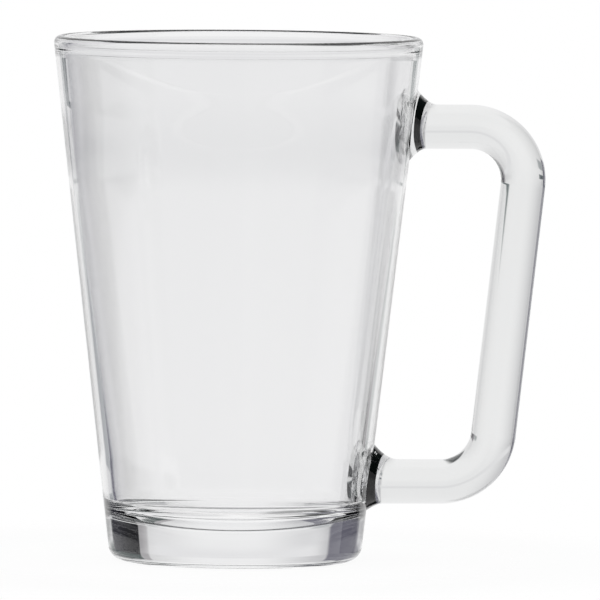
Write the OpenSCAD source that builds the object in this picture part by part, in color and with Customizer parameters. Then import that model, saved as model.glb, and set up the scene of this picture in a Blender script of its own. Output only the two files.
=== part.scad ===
// Clear glass mug for tea: a tapered, thick-bottomed glass vessel
// with one squared loop handle that is fused to its side.
// The axis of the vessel is Z, it stands on Z = 0, and the handle points to +X.

/* [Vessel] */
// Height of the vessel from the table to the top of the lip
height = 104; // [85:1:125]
// Outer diameter that the straight side reaches at the lip
rim_d = 73.6; // [66:0.2:84]
// Outer diameter that the straight side reaches at the table
foot_d = 49.8; // [44:0.2:58]
// Radius of the rounded edge between the side and the underside
foot_fillet = 3; // [1.5:0.1:5]

/* [Wall] */
// Thickness of the rounded bead that forms the lip
lip_t = 2.3; // [1.8:0.1:3]
// Height of the lip's rounding
lip_rise = 1.4; // [0.8:0.1:2]
// Height of the lip bead, from the top down
bead_h = 3.4; // [2.8:0.1:5]
// Wall thickness in the zone under the lip
collar_t = 1.85; // [1.4:0.05:2.4]
// Depth below the top of the lip down to which the wall keeps its collar thickness
collar_depth = 13; // [6:1:20]
// Wall thickness where the wall is thinnest
waist_t = 1.05; // [0.9:0.05:1.6]
// Depth below the top of the lip at which the wall is thinnest
waist_depth = 29; // [24:1:45]
// Wall thickness just above the solid base
heel_t = 2.45; // [1.8:0.05:3.2]
// Height above the table at which the wall has its full heel thickness
heel_z = 20; // [16:1:28]

/* [Base] */
// Thickness of the solid base on the axis
floor_t = 7; // [5:0.5:9]
// Radius of the sphere that shapes the dished floor inside
dish_r = 80; // [65:5:150]
// Radius of the fillet between the floor and the wall inside
floor_fillet = 3; // [2:0.25:4.5]

/* [Handle] */
// Width of the handle, across the photographed side
handle_w = 12; // [10:0.2:15]
// Thickness of the handle
handle_t = 8.8; // [7:0.1:10.5]
// Squareness of the handle's section: 2 is an ellipse, more is squarer
handle_squareness = 2.2; // [2:0.1:4]
// Depth of the middle of the upper leg below the top of the lip
upper_leg_depth = 17.75; // [15:0.05:24]
// Height of the middle of the lower leg above the table
lower_leg_z = 15.6; // [14:0.1:24]
// Clear finger space between wall and grip, just under the upper leg
upper_gap = 18.95; // [16:0.05:24]
// Clear finger space between wall and grip, just over the lower leg
lower_gap = 19.2; // [16:0.1:24]
// Radius of the handle's bends, to the middle of the glass
bend_r = 10.6; // [8:0.2:12]

/* [Handle roots] */
// Growth of the upper leg upwards, where it meets the wall
upper_over_growth = 3; // [1.5:0.1:4]
// Length along the leg over which that growth dies out
upper_over_reach = 4.4; // [2.5:0.1:6]
// Growth of the upper leg downwards
upper_under_growth = 2.5; // [1:0.1:4]
// Length along the leg over which that growth dies out
upper_under_reach = 3; // [2:0.1:6]
// Growth of the lower leg upwards
lower_over_growth = 3.1; // [1.5:0.1:4]
// Length along the leg over which that growth dies out
lower_over_reach = 5; // [2.5:0.1:6]
// Growth of the lower leg downwards
lower_under_growth = 1.4; // [1:0.1:3]
// Length along the leg over which that growth dies out
lower_under_reach = 2.9; // [2:0.1:6]
// Growth of each leg to its two sides
side_growth = 1.6; // [1:0.1:3]
// Length along the leg over which that growth dies out
side_reach = 2.7; // [2:0.1:5]

/* [Hidden] */
$fn = 128;

// depth inside the vessel from which each root is cut to the vessel's side
root_depth = 4;
// distance from the wall of a root's first ring outside the vessel
first_ring = 0.1;
// hollowness of the roots over and under a leg and at its sides, where 1 is a plain cone
root_hollow = 1.7;
side_hollow = 1.3;
// share of the lip's thickness that lies outside its crest
lip_crest_share = 0.57;
// steps in each rounded stretch and in each stretch of changing wall
arc_steps = 8;
wall_steps = 9;
bead_steps = 5;
flare_steps = 6;
section_steps = 24;
bend_steps = 8;
// hollowness of the inner wall between heel and waist, where 0 is straight
hollow_share = 0.2;

// lean of the side: growth of radius for each millimetre of height, and its angle
taper = (rim_d - foot_d) / 2 / height;
lean = atan(taper);

// outer radius of the side at a height
function outer_r(z) = foot_d / 2 + taper * z;

// eased step from 0 to 1, level at both ends
function ease(t) = t * t * (3 - 2 * t);

// horizontal wall thickness at a height: full in the heel, thinning to the
// waist, thicker again in the collar, and a bead at the lip
function wall_t(z) =
    z <= heel_z ? heel_t :
    z <= waist_z ? waist_t + (heel_t - waist_t) * pow((waist_z - z) / (waist_z - heel_z), 1 + hollow_share) :
    z <= collar_z ? waist_t + (collar_t - waist_t) * ease((z - waist_z) / (collar_z - waist_z)) :
    z <= bead_z ? collar_t :
    collar_t + (lip_t - collar_t) * ease(min(1, (z - bead_z) / (lip_z - bead_z)));

// inner radius of the wall at a height
function inner_r(z) = outer_r(z) - wall_t(z);

// points of an arc around a centre, from one angle to another, with or without its first point
function arc(centre, r, from, to, first = 0) =
    [for (i = [first : arc_steps]) centre + r * turn(from + (to - from) * i / arc_steps)];

// unit vector at an angle
function turn(a) = [cos(a), sin(a)];

// heights of the wall's stretches above the table
bead_z = height - bead_h;
collar_z = height - collar_depth;
waist_z = height - waist_depth;

// lip: two quarter ellipses between the two faces of the wall, which lean with the side
// and meet under its crest
lip_across = lip_t * cos(lean);
lip_inside = (1 - lip_crest_share) * lip_across;
lip_shift = lip_across / 2 - lip_crest_share * lip_across;
lip_top_angle = 180 - atan(lip_rise * cos(lean) / (lip_inside * sin(lean)));
lip_z = height - norm([lip_rise * cos(lean), lip_inside * sin(lean)]) + lip_shift * sin(lean);
lip_centre = [outer_r(lip_z) - lip_t / 2, lip_z];

// point of the lip at an angle, from 0 on the outer face to 180 on the inner face
function lip_point(a) =
    let (half = a < 90 ? lip_across - lip_inside : lip_inside)
    lip_centre + (half * cos(a) + lip_shift) * turn(-lean) + lip_rise * sin(a) * turn(90 - lean);

// points of the lip between two angles, with or without the first
function lip(from, to, first = 0) =
    [for (i = [first : arc_steps]) lip_point(from + (to - from) * i / arc_steps)];

// foot: fillet between the underside and the side
foot_centre = [foot_d / 2 - foot_fillet * tan(45 - lean / 2), foot_fillet];

// floor: its fillet touches the dish sphere and the heel of the wall
dish_centre = [0, floor_t + dish_r];
heel_foot = [foot_d / 2 - heel_t, 0];
heel_normal = turn(180 - lean);
heel_up = turn(90 - lean);
reach = heel_foot + floor_fillet * heel_normal - dish_centre;
slide = -reach * heel_up - sqrt(pow(reach * heel_up, 2) - reach * reach + pow(dish_r - floor_fillet, 2));
fillet_centre = dish_centre + reach + slide * heel_up;
dish_end = atan2(fillet_centre[1] - dish_centre[1], fillet_centre[0]);

// heights at which the inner wall has a point, from the lip down to the heel
wall_zs = concat(
    [for (i = [1 : bead_steps]) lip_z + (bead_z - lip_z) * i / bead_steps],
    [for (i = [0 : wall_steps]) collar_z + (waist_z - collar_z) * i / wall_steps],
    [for (i = [1 : wall_steps]) waist_z + (heel_z - waist_z) * i / wall_steps]
);

// half outline of the vessel: underside, foot, side, lip, inner wall and floor
vessel_outline = concat(
    [[0, 0]],
    arc(foot_centre, foot_fillet, -90, -lean),
    lip(0, lip_top_angle),
    lip(lip_top_angle, 180, first = 1),
    [for (z = wall_zs) [inner_r(z), z]],
    arc(fillet_centre, floor_fillet, -lean, dish_end),
    arc(dish_centre, dish_r, dish_end, -90, first = 1)
);

// handle: the middle line runs out along the upper leg, down the grip and
// back along the lower leg, and the grip keeps the finger space at both legs
upper_leg_z = height - upper_leg_depth;
upper_inside_z = upper_leg_z - handle_t / 2;
lower_inside_z = lower_leg_z + handle_t / 2;
grip_slope = (outer_r(upper_inside_z) + upper_gap - outer_r(lower_inside_z) - lower_gap)
    / (upper_inside_z - lower_inside_z);
grip_lean = atan(grip_slope);
grip_offset = handle_t / 2 / cos(grip_lean);

// middle line of the grip at a height
function grip_x(z) = outer_r(lower_inside_z) + lower_gap + grip_offset + grip_slope * (z - lower_inside_z);

// where the bends begin and end: each takes this much of its leg and of the grip
upper_bend_len = bend_r * tan((90 + grip_lean) / 2);
lower_bend_len = bend_r * tan((90 - grip_lean) / 2);
upper_bend_centre = [grip_x(upper_leg_z) - upper_bend_len, upper_leg_z - bend_r];
lower_bend_centre = [grip_x(lower_leg_z) - lower_bend_len, lower_leg_z + bend_r];

// distance of the vessel's side from the YZ plane, for a point beside the axis
function side_x(y, z) = sqrt(pow(outer_r(z), 2) - y * y);

// share of a root's growth that is left at a distance from the wall
function flare(s, reach, hollow = root_hollow) = pow(max(0, 1 - s / reach), hollow);

// cosine or sine raised to the power that squares the section, with its sign kept
function squared(c) = sign(c) * pow(abs(c), 2 / handle_squareness);

// rounded section of the handle: [across, outwards] from its middle line, grown
// outwards, inwards and to both sides
function section(outward = 0, inward = 0, sideways = 0) = [
    for (i = [0 : section_steps - 1])
        let (
            a = 360 * i / section_steps,
            half_t = handle_t / 2 + (a < 180 ? outward : inward)
        )
        [(handle_w / 2 + sideways) * squared(cos(a)), half_t * squared(sin(a))]
];

// section of a root at a distance from the wall: each growth is [growth, reach]
function root_section(s, outward, inward) = section(
    outward[0] * flare(s, outward[1]),
    inward[0] * flare(s, inward[1]),
    side_growth * flare(s, side_reach, side_hollow)
);

// ring of a leg's root at a distance from the wall, up = 1 for the upper leg
function root_ring(leg_z, up, s, outward, inward) = [
    for (p = root_section(s, outward, inward))
        let (z = leg_z + up * p[1])
        [side_x(p[0], z) + s, p[0], z]
];

// flat ring across the handle, at a place [x, z] with its outward side at an angle
function flat_ring(place, angle, ring) = [
    for (p = ring) [place[0] + p[1] * cos(angle), p[0], place[1] + p[1] * sin(angle)]
];

// rings of a whole root: one inside the vessel, then outwards to where the growth has died out
function root(leg_z, up, outward, inward) = concat(
    [flat_ring([outer_r(leg_z - handle_t) - root_depth, leg_z], 90 * up, root_section(0, outward, inward))],
    [
        for (k = [0 : flare_steps])
            let (s = first_ring + (max(outward[1], inward[1]) - first_ring) * pow(k / flare_steps, 1.5))
            root_ring(leg_z, up, s, outward, inward)
    ]
);

// rings of a bend round its centre, between two angles
function bend(centre, from, to) = [
    for (i = [0 : bend_steps])
        let (a = from + (to - from) * i / bend_steps)
        flat_ring(centre + bend_r * turn(a), a, section())
];

// the root of the lower leg is built outwards too, so its rings are taken in reverse
function reversed(list) = [for (i = [len(list) - 1 : -1 : 0]) list[i]];

// the upper bend has a ring at 0 degrees, its outermost place, before the grip begins
handle_rings = concat(
    root(upper_leg_z, 1, [upper_over_growth, upper_over_reach], [upper_under_growth, upper_under_reach]),
    bend(upper_bend_centre, 90, 0),
    [flat_ring(upper_bend_centre + bend_r * turn(-grip_lean), -grip_lean, section())],
    bend(lower_bend_centre, -grip_lean, -90),
    reversed(root(lower_leg_z, -1, [lower_under_growth, lower_under_reach], [lower_over_growth, lower_over_reach]))
);

// solid skin over a run of rings that all have the same number of points
module skin(rings) {
    sides = len(rings[0]);
    last = (len(rings) - 1) * sides;
    polyhedron(
        points = [for (ring = rings) each ring],
        faces = concat(
            [[for (i = [0 : sides - 1]) i]],
            [[for (i = [sides - 1 : -1 : 0]) last + i]],
            [
                for (start = [0 : sides : last - sides], i = [0 : sides - 1])
                    [start + i, start + sides + i, start + (i + 1) % sides]
            ],
            [
                for (start = [0 : sides : last - sides], i = [0 : sides - 1])
                    [start + (i + 1) % sides, start + sides + i, start + sides + (i + 1) % sides]
            ]
        )
    );
}

module vessel() {
    color([0.86, 0.91, 0.91, 0.45])
        rotate_extrude()
            polygon(vessel_outline);
}

// the handle's two roots are cut to the side of the vessel, so they seat on it
module handle() {
    color([0.80, 0.87, 0.87, 0.6])
        difference() {
            skin(handle_rings);
            cylinder(r1 = foot_d / 2, r2 = rim_d / 2, h = height);
        }
}

vessel();
handle();
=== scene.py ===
import math

import bpy
import numpy as np
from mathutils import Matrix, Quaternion, Vector


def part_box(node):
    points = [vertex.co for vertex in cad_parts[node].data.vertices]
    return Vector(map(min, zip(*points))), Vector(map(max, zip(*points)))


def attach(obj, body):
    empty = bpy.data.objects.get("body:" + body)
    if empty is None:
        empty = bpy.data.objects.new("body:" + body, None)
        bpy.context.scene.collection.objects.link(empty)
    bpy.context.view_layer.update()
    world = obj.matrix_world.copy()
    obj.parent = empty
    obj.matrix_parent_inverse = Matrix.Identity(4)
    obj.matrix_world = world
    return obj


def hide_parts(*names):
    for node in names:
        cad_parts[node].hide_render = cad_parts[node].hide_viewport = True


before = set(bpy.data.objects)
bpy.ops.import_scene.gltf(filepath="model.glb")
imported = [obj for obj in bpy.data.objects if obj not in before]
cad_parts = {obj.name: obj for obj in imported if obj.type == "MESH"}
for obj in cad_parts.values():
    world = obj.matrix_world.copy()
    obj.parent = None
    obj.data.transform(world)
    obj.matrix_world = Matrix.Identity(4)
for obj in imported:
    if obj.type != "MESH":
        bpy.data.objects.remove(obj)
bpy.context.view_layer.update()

mm = 0.001
scene = bpy.context.scene
print("frame loaded:", sorted(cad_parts))


# mesh object from points and faces
def putMesh(name, points, faces, smooth=True):
    mesh = bpy.data.meshes.new(name)
    mesh.from_pydata(points.tolist(), [], faces)
    mesh.polygons.foreach_set("use_smooth", [smooth] * len(mesh.polygons))
    mesh.validate()
    mesh.update()
    piece = bpy.data.objects.new(name, mesh)
    scene.collection.objects.link(piece)
    return piece


# quads between neighbouring rings of `around` points each, from point `first` on: point
# j of ring i joins point j and j+1 of ring i+1, and the last point joins the first
def ringQuads(rings, around, first):
    start = first + np.arange(rings - 1)[:, None] * around
    here = start + np.arange(around)
    beside = start + (np.arange(around) + 1) % around
    quads = np.stack([here, beside, beside + around, here + around], -1)
    return quads.reshape(-1, 4).tolist()


# triangles from a pole to the ring that starts at a point, round it forwards or
# backwards, so that they face outwards at either end of a piece
def poleFan(pole, ringStart, around, forwards):
    here = ringStart + np.arange(around)
    beside = ringStart + (np.arange(around) + 1) % around
    tip = np.full(around, pole)
    corners = [tip, here, beside] if forwards else [tip, beside, here]
    return np.stack(corners, -1).tolist()


# unit vector [cos a, sin a] at an angle in radians
def turn(angle):
    return np.stack([np.cos(angle), np.sin(angle)], -1)


# angles of a full turn in even steps, without the last
def fullTurn(steps):
    return np.arange(steps) * 2 * np.pi / steps


# points of a circle between two angles, in degrees
def arc(centre, radius, start, end, count):
    return np.asarray(centre) + radius * turn(np.radians(np.linspace(start, end, count)))


# 3 t^2 - 2 t^3, held at 0 below 0 and at 1 above 1
def smoothStep(t):
    t = np.clip(t, 0, 1)
    return t * t * (3 - 2 * t)


# what a user would change in the vessel; walls are measured level, heights from the
# table and depths from the lip
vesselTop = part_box("vessel")[1]
vessel = {
    "height": vesselTop.z,
    "rimRadius": 36.78 * mm,                # where the straight side would reach the top
    "footRadius": 24.9 * mm,                # where it would reach the table
    "footFillet": 3.0 * mm,
    "lipWall": 2.3 * mm,                    # bead of the lip
    "lipRise": 1.4 * mm,                    # height of the lip's rounding
    "lipCrest": 0.57,                       # share of the lip that lies outside its crest
    "beadHeight": 3.4 * mm,
    "collarWall": 1.85 * mm,                # thicker glass under the lip
    "collarDepth": 13 * mm,
    "waistWall": 1.05 * mm,                 # thinnest glass
    "waistDepth": 29 * mm,
    "heelWall": 2.45 * mm,                  # just above the solid base
    "heelHeight": 20 * mm,
    "thinning": 1.2,                        # power from the waist down to the heel, 1 is a cone
    "base": 7 * mm,                         # solid glass on the axis
    "dishRadius": 80 * mm,                  # the inner floor is a shallow dish
    "dishFillet": 3.0 * mm,
    "around": 384,
    # points along each stretch of the outline
    "points": {"under": 11, "foot": 14, "side": 50, "lip": 33, "collar": 22, "wall": 60,
               "dishFillet": 10, "dish": 20},
}

# slope of the straight side, and the place of the lip: the crest of its two quarter
# ellipses, one outside and one inside, lies at the vessel's height
taper = (vessel["rimRadius"] - vessel["footRadius"]) / vessel["height"]
sideSlope = math.atan(taper)
sideLean = math.degrees(sideSlope)
lipAcross = vessel["lipWall"] * math.cos(sideSlope)
lipInside = (1 - vessel["lipCrest"]) * lipAcross
lipShift = lipAcross / 2 - vessel["lipCrest"] * lipAcross
lipCrestRise = math.hypot(vessel["lipRise"] * math.cos(sideSlope), lipInside * math.sin(sideSlope))
lipHeight = vessel["height"] + lipShift * math.sin(sideSlope) - lipCrestRise


# radius of the straight side at a height: the foot's, and the taper times the height
def outerRadius(z):
    return vessel["footRadius"] + taper * z


# level thickness of the wall at a height: full in the heel, thinning to the waist as a
# power of the height left, eased up again to the collar and to the lip's bead
def wallThickness(z):
    v = vessel
    waist = v["height"] - v["waistDepth"]
    collar = v["height"] - v["collarDepth"]
    bead = v["height"] - v["beadHeight"]
    lower = np.clip((waist - z) / (waist - v["heelHeight"]), 0, 1) ** v["thinning"]
    upper = smoothStep((z - waist) / (collar - waist))
    lip = smoothStep((z - bead) / (lipHeight - bead))
    return (v["waistWall"] + (v["heelWall"] - v["waistWall"]) * lower
            + (v["collarWall"] - v["waistWall"]) * upper
            + (v["lipWall"] - v["collarWall"]) * lip)


# middle of the dish's fillet, which touches both the heel's wall and the dish: it lies
# a fillet's radius inside the wall, and slides up until it lies as far from the dish
def dishFilletCentre(dishCentre, inward, upward):
    v = vessel
    start = np.array([v["footRadius"] - v["heelWall"], 0]) + v["dishFillet"] * inward - dishCentre
    along = start @ upward
    slide = -along - math.sqrt(along ** 2 - start @ start + (v["dishRadius"] - v["dishFillet"]) ** 2)
    return dishCentre + start + slide * upward


# half outline of the vessel from the middle of the underside, up the side, over the
# lip and down the inside to the middle of the dish: straight lines, circle arcs, the
# lip's two quarter ellipses and the wall's own curve
def vesselOutline():
    v, count = vessel, vessel["points"]
    inward, upward = turn(math.pi - sideSlope), turn(math.pi / 2 - sideSlope)
    footInset = v["footFillet"] * math.tan(math.pi / 4 - sideSlope / 2)
    footCentre = (v["footRadius"] - footInset, v["footFillet"])
    foot = arc(footCentre, v["footFillet"], -90, -sideLean, count["foot"])
    underRadii = np.linspace(0, foot[0, 0], count["under"], endpoint=False)
    under = np.stack([underRadii, np.zeros(count["under"])], -1)

    lipCentre = np.array([outerRadius(lipHeight) - v["lipWall"] / 2, lipHeight])
    t = np.linspace(0, np.pi, count["lip"])
    across = np.where(np.cos(t) > 0, lipAcross - lipInside, lipInside) * np.cos(t) + lipShift
    lip = lipCentre - across[:, None] * inward + v["lipRise"] * np.sin(t)[:, None] * upward
    sideHeights = np.linspace(foot[-1, 1], lip[0, 1], count["side"])[1:-1]
    side = np.stack([outerRadius(sideHeights), sideHeights], -1)

    dishCentre = np.array([0, v["base"] + v["dishRadius"]])
    filletCentre = dishFilletCentre(dishCentre, inward, upward)
    dishEnd = math.degrees(math.atan2(filletCentre[1] - dishCentre[1], filletCentre[0]))
    fillet = arc(filletCentre, v["dishFillet"], -sideLean, dishEnd, count["dishFillet"])
    dish = arc(dishCentre, v["dishRadius"], dishEnd, -90, count["dish"])[1:]

    collar = v["height"] - v["collarDepth"]
    wallHeights = np.concatenate([np.linspace(lip[-1, 1], collar, count["collar"])[1:],
                                  np.linspace(collar, fillet[0, 1], count["wall"])[1:-1]])
    wall = np.stack([outerRadius(wallHeights) - wallThickness(wallHeights), wallHeights], -1)
    return np.concatenate([under, foot, side, lip, wall, fillet, dish])


# the outline turned round the axis: point (r, z) of the outline at angle a is
# (r cos a, r sin a, z), and its two ends on the axis are single points
def makeVessel():
    outline = vesselOutline()
    around = vessel["around"]
    angle = fullTurn(around)
    radius, height = outline[1:-1, :1], outline[1:-1, 1:]
    rings = np.stack([radius * np.cos(angle), radius * np.sin(angle), np.repeat(height, around, 1)], -1)
    poles = np.array([[0, 0, outline[0, 1]], [0, 0, outline[-1, 1]]])
    points = np.concatenate([poles, rings.reshape(-1, 3)])
    faces = (ringQuads(len(rings), around, len(poles)) + poleFan(0, len(poles), around, False)
             + poleFan(1, len(points) - around, around, True))
    return putMesh("vesselGlass", points, faces)


vesselGlass = makeVessel()
print("vessel", len(vesselGlass.data.polygons), "faces")

# what a user would change in the handle; each growth of a root is given as its size at
# the wall and its reach along the leg
handle = {
    "width": 12 * mm,
    "thickness": 8.8 * mm,
    "squareness": 2.2,                      # 2 is an ellipse, more is squarer
    "upperDepth": 17.75 * mm,               # middle of the upper leg, below the lip
    "lowerHeight": 15.6 * mm,               # middle of the lower leg, above the table
    "upperGap": 18.95 * mm,                 # finger space under the upper leg
    "lowerGap": 19.2 * mm,                  # and over the lower leg
    "bendRadius": 10.6 * mm,
    "upperOver": (3.0 * mm, 4.4 * mm),
    "upperUnder": (2.5 * mm, 3.0 * mm),
    "lowerOver": (3.1 * mm, 5.0 * mm),
    "lowerUnder": (1.4 * mm, 2.9 * mm),
    "side": (1.6 * mm, 2.7 * mm),
    "hollow": 1.7,                          # power of the growth over and under a leg: 1 is
    "sideHollow": 1.3,                      # a cone, more is hollower; and at its sides
    "around": 96,
    # rings along each stretch, and how much the root's own crowd towards the wall
    "rings": {"seat": 7, "root": 30, "leg": 8, "bend": 49, "grip": 30},
    "crowding": 1.5,
}


# distance from the YZ plane of the vessel's side, for points beside the axis
def sideX(y, z):
    return np.sqrt(outerRadius(z) ** 2 - y ** 2)


# growth of a leg at a distance from the wall: a power of the reach that is left
def flare(s, root, hollow):
    growth, reach = root
    return growth * np.clip(1 - s / reach, 0, 1) ** hollow


# section as [across, outwards] from the middle line: a superellipse, whose half sizes
# grow outwards, inwards and sideways by the flare of a root
def section(outward, inward, sideways):
    h = handle
    a = fullTurn(h["around"])
    power = 2 / h["squareness"]
    u = (h["width"] / 2 + sideways) * np.sign(np.cos(a)) * np.abs(np.cos(a)) ** power
    grown = np.where(np.sin(a) > 0, outward, inward)
    v = (h["thickness"] / 2 + grown) * np.sign(np.sin(a)) * np.abs(np.sin(a)) ** power
    return u, v


# middle line in the XZ plane: two level legs, a grip that leans so that its inner side
# keeps both gaps, and the centres of the two bends, which touch leg and grip
def handlePath():
    h = handle
    upper, lower = vessel["height"] - h["upperDepth"], h["lowerHeight"]
    upperInside, lowerInside = upper - h["thickness"] / 2, lower + h["thickness"] / 2
    upperX = outerRadius(upperInside) + h["upperGap"]
    lowerX = outerRadius(lowerInside) + h["lowerGap"]
    gripTaper = (upperX - lowerX) / (upperInside - lowerInside)
    gripLean = math.degrees(math.atan(gripTaper))
    middleX = lowerX + h["thickness"] / 2 / math.cos(math.radians(gripLean))
    upperCorner = middleX + gripTaper * (upper - lowerInside)
    lowerCorner = middleX + gripTaper * (lower - lowerInside)
    upperTake = h["bendRadius"] * math.tan(math.radians(90 + gripLean) / 2)
    lowerTake = h["bendRadius"] * math.tan(math.radians(90 - gripLean) / 2)
    return {"upper": upper, "lower": lower, "gripLean": gripLean,
            "upperCentre": np.array([upperCorner - upperTake, upper - h["bendRadius"]]),
            "lowerCentre": np.array([lowerCorner - lowerTake, lower + h["bendRadius"]])}


# rings of a root: ring k follows the wall at distance s, so a point (y, z) of the
# grown section lies at x = side of the vessel + s
def rootRings(legHeight, up, over, under):
    h = handle
    outward, inward = (over, under) if up > 0 else (under, over)
    far = max(over[1], under[1], h["side"][1])
    rings = []
    for s in far * np.linspace(0, 1, h["rings"]["root"]) ** h["crowding"]:
        u, v = section(flare(s, outward, h["hollow"]), flare(s, inward, h["hollow"]),
                       flare(s, h["side"], h["sideHollow"]))
        z = legHeight + up * v
        rings.append(np.stack([sideX(u, z) + s, u, z], -1))
    return rings


# cap of a root: its first ring drawn in towards a middle point in even steps, each
# point on the vessel's side
def seatRings(ring, legHeight):
    rings = []
    for t in np.linspace(0, 1, handle["rings"]["seat"], endpoint=False):
        y, z = ring[:, 1] * (1 - t), legHeight + (ring[:, 2] - legHeight) * (1 - t)
        rings.append(np.stack([sideX(y, z), y, z], -1))
    return rings


# rings of a bend: the plain section at even angles, in degrees, of a circle
def bendRings(centre, start, end):
    h = handle
    u, v = section(0, 0, 0)
    radius = h["bendRadius"] + v
    rings = []
    for a in np.radians(np.linspace(start, end, h["rings"]["bend"])):
        rings.append(np.stack([centre[0] + radius * np.cos(a), u, centre[1] + radius * np.sin(a)], -1))
    return rings


# rings of a straight stretch: even steps between its two end rings, which it leaves out
def between(first, last, count):
    return [first + (last - first) * t for t in np.linspace(0, 1, count)[1:-1]]


# the handle from the upper seat round to the lower one, closed by a point on each seat;
# the faces of the two seats have the second material
def makeHandle():
    h, path, count = handle, handlePath(), handle["rings"]
    upperRoot = rootRings(path["upper"], 1, h["upperOver"], h["upperUnder"])
    lowerRoot = rootRings(path["lower"], -1, h["lowerOver"], h["lowerUnder"])
    upperBend = bendRings(path["upperCentre"], 90, -path["gripLean"])
    lowerBend = bendRings(path["lowerCentre"], -path["gripLean"], -90)
    rings = (seatRings(upperRoot[0], path["upper"])[::-1] + upperRoot
             + between(upperRoot[-1], upperBend[0], count["leg"]) + upperBend
             + between(upperBend[-1], lowerBend[0], count["grip"]) + lowerBend
             + between(lowerBend[-1], lowerRoot[-1], count["leg"]) + lowerRoot[::-1]
             + seatRings(lowerRoot[0], path["lower"]))
    poles = np.array([[sideX(0, path[leg]), 0, path[leg]] for leg in ("upper", "lower")])
    points = np.concatenate([poles, *rings])
    quads = ringQuads(len(rings), h["around"], len(poles))
    piece = putMesh("handleGlass", points, quads + poleFan(0, len(poles), h["around"], False)
                    + poleFan(1, len(points) - h["around"], h["around"], True))
    seatQuads = count["seat"] * h["around"]
    materialIndex = np.zeros(len(piece.data.polygons), int)
    materialIndex[:seatQuads] = 1
    materialIndex[len(quads) - seatQuads:] = 1
    piece.data.polygons.foreach_set("material_index", materialIndex)
    return piece


handleGlass = makeHandle()
print("handle", len(handleGlass.data.polygons), "faces")


# a socket of a node tree that does sums: s * 2 or 1 - s adds a Math node
class Wire:
    mixEnds = (6, 7)        # sockets A and B of a Mix node that is set to colours
    mixResult = 2

    def __init__(self, tree, socket=None):
        self.tree = tree
        self.socket = socket

    # any node: its type, its settings, the values or links of its sockets, and which output
    def node(self, kind, settings=None, values=None, out=0):
        made = self.tree.nodes.new(kind)
        for name, value in (settings or {}).items():
            setattr(made, name, value)
        for name, value in (values or {}).items():
            if isinstance(value, Wire):
                self.tree.links.new(value.socket, made.inputs[name])
            else:
                made.inputs[name].default_value = value
        return Wire(self.tree, made.outputs[out] if len(made.outputs) else None)

    def math(self, operation, *values):
        return self.node("ShaderNodeMath", {"operation": operation}, dict(enumerate(values)))

    def __add__(self, other):
        return self.math("ADD", self, other)

    def __sub__(self, other):
        return self.math("SUBTRACT", self, other)

    def __rsub__(self, other):
        return self.math("SUBTRACT", other, self)

    def __mul__(self, other):
        return self.math("MULTIPLY", self, other)

    def __truediv__(self, other):
        return self.math("DIVIDE", self, other)

    def __rtruediv__(self, other):
        return self.math("DIVIDE", other, self)

    def __abs__(self):
        return self.math("ABSOLUTE", self)

    __radd__ = __add__
    __rmul__ = __mul__

    def clip(self):
        return self.math("MINIMUM", self.math("MAXIMUM", self, 0), 1)

    # 0 below low and 1 above high, with a soft step between them
    def step(self, low, high):
        return self.node("ShaderNodeMapRange", {"interpolation_type": "SMOOTHSTEP"},
                         {"Value": self, "From Min": low, "From Max": high})

    # 1 between two values and 0 outside them, with soft edges
    def within(self, low, high, soft):
        return self.step(low - soft, low + soft) * (1 - self.step(high - soft, high + soft))

    # colour that goes from the first to the second as this socket goes from 0 to 1
    def mix(self, first, second):
        ends = {}
        for place, colour in zip(self.mixEnds, (first, second)):
            ends[place] = colour if isinstance(colour, Wire) else (*colour, 1)
        return self.node("ShaderNodeMix", {"data_type": "RGBA"}, {"Factor": self, **ends}, self.mixResult)

    # x, y and z of a vector
    def parts(self):
        return [self.node("ShaderNodeSeparateXYZ", {}, {0: self}, i) for i in range(3)]


def newMaterial(name):
    material = bpy.data.materials.new(name)
    material.use_nodes = True
    material.node_tree.nodes.clear()
    return material, Wire(material.node_tree)


# what glass is: both pieces are of one melt, and the handle's thick glass takes more light
glass = {
    "ior": 1.52,
    "vesselTint": (0.967, 0.967, 0.969),
    "handleTint": (0.905, 0.908, 0.905),
    "seatBand": 0.3 * mm,                   # this near to the side counts as the outer wall
}


# 1 outside a seat and 0 inside it: the root's own section in (y, z), with the growth
# it has at the wall over and under the leg
def outsideSeat(y, z, legHeight, over, under):
    h = handle
    height = z - legHeight
    isAbove = z.math("GREATER_THAN", height, 0)
    tall = h["thickness"] / 2 + under[0] + isAbove * (over[0] - under[0])
    across = abs(y / (h["width"] / 2 + h["side"][0]))
    reach = (y.math("POWER", across, h["squareness"])
             + z.math("POWER", abs(height / tall), h["squareness"]))
    return y.math("GREATER_THAN", reach, 1)


# 0 on the outer wall where a root is fused to it, so no face lies between the two pieces
def fusedSeats(w):
    h, path = handle, handlePath()
    x, y, z = w.node("ShaderNodeTexCoord", out="Object").parts()
    upper = outsideSeat(y, z, path["upper"], h["upperOver"], h["upperUnder"])
    lower = outsideSeat(y, z, path["lower"], h["lowerOver"], h["lowerUnder"])
    inner = z * taper + (vessel["footRadius"] - glass["seatBand"])
    insideWall = w.math("LESS_THAN", x * x + y * y, inner * inner)
    return (w.math("MINIMUM", upper, lower) + insideWall + w.math("LESS_THAN", x, 0)).clip()


def glassMaterial(name, tint, alpha=None):
    material, w = newMaterial(name)
    values = {"Base Color": (*tint, 1), "Roughness": 0.0, "IOR": glass["ior"], "Transmission Weight": 1.0}
    if alpha:
        values["Alpha"] = alpha(w)
    w.node("ShaderNodeOutputMaterial", {}, {"Surface": w.node("ShaderNodeBsdfPrincipled", {}, values)})
    return material


# the cap of a root lies inside the glass and shows nothing
def seatMaterial():
    material, w = newMaterial("seat")
    nothing = w.node("ShaderNodeBsdfPrincipled", {}, {"Alpha": 0.0})
    w.node("ShaderNodeOutputMaterial", {}, {"Surface": nothing})
    return material


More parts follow.
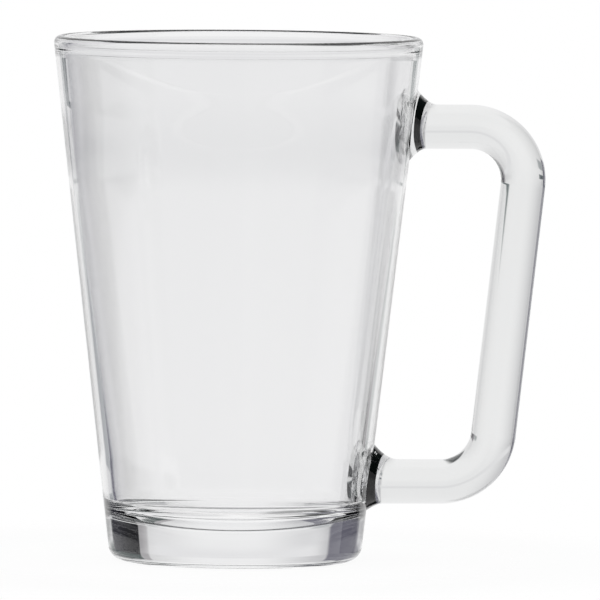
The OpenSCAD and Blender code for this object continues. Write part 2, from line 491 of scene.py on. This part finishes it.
vesselGlass.data.materials.append(glassMaterial("vesselGlass", glass["vesselTint"], fusedSeats))
handleGlass.data.materials.append(glassMaterial("handleGlass", glass["handleTint"]))
handleGlass.data.materials.append(seatMaterial())

for piece, node, slot in ((vesselGlass, "vessel", "vessel_glass"), (handleGlass, "handle", "handle_glass")):
    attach(piece, "root")
    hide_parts(node)
print("materials done")

camera = {
    "distance": 2.2,
    "azimuth": 4,                           # the handle points a little away from the camera
    "elevation": 3.53,
    "roll": 0.44,                           # the photograph leans clockwise
    "lens": 665,
    "axisPoint": 52 * mm,                   # this point of the axis shows at axisPixel
    "axisPixel": (236.9, 298.7),
    "frame": 600,                           # pixels along each side
    "sensor": 36,
}


# camera on its sphere round the point of the axis, aimed beside that point by as much
# as axisPixel lies beside the middle of the frame, and rolled
def placeCamera():
    c = camera
    lens = bpy.data.cameras.new("camera")
    lens.lens = c["lens"]
    lens.sensor_width = c["sensor"]
    eye = bpy.data.objects.new("camera", lens)
    scene.collection.objects.link(eye)
    azimuth, elevation = math.radians(c["azimuth"]), math.radians(c["elevation"])
    right = Vector((math.cos(azimuth), -math.sin(azimuth), 0))
    away = Vector((math.sin(azimuth), math.cos(azimuth), 0))
    back = Vector((0, 0, math.sin(elevation))) - away * math.cos(elevation)
    up = Vector((0, 0, math.cos(elevation))) + away * math.sin(elevation)
    onAxis = Vector((0, 0, c["axisPoint"]))
    eye.location = onAxis + c["distance"] * back
    perPixel = c["distance"] * c["sensor"] / c["lens"] / c["frame"]
    fromMiddle = [c["frame"] / 2 - pixel for pixel in c["axisPixel"]]
    aim = onAxis + (right * fromMiddle[0] - up * fromMiddle[1]) * perPixel
    look = (aim - eye.location).to_track_quat("-Z", "Y")
    eye.rotation_mode = "QUATERNION"
    eye.rotation_quaternion = look @ Quaternion((0, 0, 1), math.radians(c["roll"]))
    scene.camera = eye


placeCamera()
print("camera placed")

# what the glass sees round it, by direction in degrees: azimuth from the camera's view
# towards its right, and elevation. The backdrop and the table dim to both sides, and
# black and grey cards draw the dark edges of the glass, each one over those before it
studio = {
    "backdrop": (0.88, 0.882, 0.886),
    "backdropLeft": (0.52, 0.52, 0.535),
    "backdropRight": (0.66, 0.66, 0.665),
    "table": (0.95, 0.95, 0.952),
    "tableLeft": (0.76, 0.76, 0.765),
    "tableRight": (0.84, 0.84, 0.84),
    "leftFade": (-38, -4),
    "rightFade": (8, 38),
    "horizon": (-7, 2),
    "front": (0.35, 0.36, 0.37),            # the dim room beside and behind the camera
    "frontFade": (80, 125),
    # azimuth, elevation, softness of the upright and the level edges, colour
    "cards": [
        ((32.3, 37.5), (-15, -8.8), (0.8, 0.8), (0.37, 0.36, 0.37)),        # grey edge on the right
        ((32.3, 37.5), (-4.4, 50), (0.8, 0.8), (0.37, 0.36, 0.37)),
        ((37.5, 120), (8, 50), (0.5, 1.2), (0.045, 0.064, 0.062)),          # black on the right
        ((37.5, 68), (-4.4, 10), (0.5, 0.6), (0.02, 0.02, 0.022)),
        ((37.5, 68), (-15, -8.8), (0.5, 0.6), (0.02, 0.02, 0.022)),
        ((22, 68), (-5.5, -4.2), (2, 0.15), (0.17, 0.2, 0.2)),              # right wall's dark line
        ((26, 32), (-12, -8.6), (2, 0.4), (0.42, 0.44, 0.44)),
        ((-120, -36), (8, 50), (1.2, 1.2), (0.14, 0.138, 0.175)),           # black on the left
        ((-68, -36), (-15, 10), (1.2, 1.2), (0.14, 0.138, 0.175)),
        ((-102, -62), (-15, -6.6), (12, 1), (0.02, 0.02, 0.022)),
        ((-36, -25.5), (-5.9, -4), (1.5, 0.15), (0.12, 0.14, 0.15)),        # left wall's dark line
        ((-36, -26), (-12.5, -8.3), (2.5, 0.4), (0.4, 0.42, 0.43)),
        ((-32, 32), (3.0, 6.2), (6, 1.0), (0.8, 0.8, 0.81)),                # grey in the thick base
        ((9, 36), (-52, -30), (4, 2), (0.03, 0.035, 0.035)),                # foot and lower bend
    ],
}


# colour that dims from its middle to a left and a right colour
def fading(azimuth, middle, left, right):
    s = studio
    return azimuth.step(*s["rightFade"]).mix(azimuth.step(*s["leftFade"]).mix(left, middle), right)


# the world: the studio for the glass, and plain white for the camera and for the light
# on the floor
def makeWorld():
    s = studio
    world = bpy.data.worlds.new("studio")
    world.use_nodes = True
    world.node_tree.nodes.clear()
    w = Wire(world.node_tree)
    x, y, z = w.node("ShaderNodeTexCoord", out="Generated").parts()
    azimuth = w.math("DEGREES", w.math("ARCTAN2", x, y)) - camera["azimuth"]
    elevation = w.math("DEGREES", w.math("ARCSINE", z))
    backdrop = fading(azimuth, s["backdrop"], s["backdropLeft"], s["backdropRight"])
    table = fading(azimuth, s["table"], s["tableLeft"], s["tableRight"])
    around = abs(azimuth).step(*s["frontFade"]).mix(backdrop, s["front"])
    colour = elevation.step(*s["horizon"]).mix(table, around)
    for cardAzimuth, cardElevation, (upright, level), cardColour in s["cards"]:
        inside = azimuth.within(*cardAzimuth, upright) * elevation.within(*cardElevation, level)
        colour = inside.mix(colour, cardColour)
    cameraRay = w.node("ShaderNodeLightPath", out="Is Camera Ray")
    diffuseRay = w.node("ShaderNodeLightPath", out="Is Diffuse Ray")
    colour = w.math("MAXIMUM", cameraRay, diffuseRay).mix(colour, (1, 1, 1))
    background = w.node("ShaderNodeBackground", {}, {"Color": colour, "Strength": 1.0})
    w.node("ShaderNodeOutputWorld", {}, {"Surface": background})
    scene.world = world


makeWorld()

# the table round the foot: a disc that fades out into the world
floor = {
    "radius": 0.11,
    "drop": 0.05 * mm,                      # below the foot, so that the two faces stay apart
    "own": 0.94,                            # light of its own, the rest is lit and takes the shadow
    "fade": (0.04, 0.105),
    "rings": 12,
    "around": 96,
}


# flat disc: point (r cos a, r sin a) at the drop, on rings of even spacing
def makeFloor():
    f = floor
    angle = fullTurn(f["around"])
    radius = np.linspace(0, f["radius"], f["rings"] + 1)[1:, None]
    level = np.full((f["rings"], f["around"]), -f["drop"])
    rings = np.stack([radius * np.cos(angle), radius * np.sin(angle), level], -1)
    points = np.concatenate([[[0, 0, -f["drop"]]], rings.reshape(-1, 3)])
    quads = np.array(ringQuads(f["rings"], f["around"], 1))[:, ::-1].tolist()
    disc = putMesh("floor", points, quads + poleFan(0, 1, f["around"], True), False)
    material, w = newMaterial("floor")
    x, y, z = w.node("ShaderNodeTexCoord", out="Object").parts()
    lit = w.node("ShaderNodeBsdfPrincipled", {}, {
        "Base Color": (1 - f["own"],) * 3 + (1,), "Roughness": 1.0, "Specular IOR Level": 0.0,
        "Emission Color": (1, 1, 1, 1), "Emission Strength": f["own"]})
    away = w.math("SQRT", x * x + y * y).step(*f["fade"])
    faded = w.node("ShaderNodeMixShader", {}, {0: away, 1: lit, 2: w.node("ShaderNodeBsdfTransparent")})
    w.node("ShaderNodeOutputMaterial", {}, {"Surface": faded})
    disc.data.materials.append(material)
    disc.visible_glossy = False             # the glass sees the world's table instead
    disc.visible_transmission = False


makeFloor()
print("studio done")

# a ray crosses many glass faces at the roots and in the base
scene.cycles.max_bounces = 24
scene.cycles.transmission_bounces = 24
scene.cycles.glossy_bounces = 8
scene.cycles.transparent_max_bounces = 24
scene.view_settings.view_transform = "Standard"
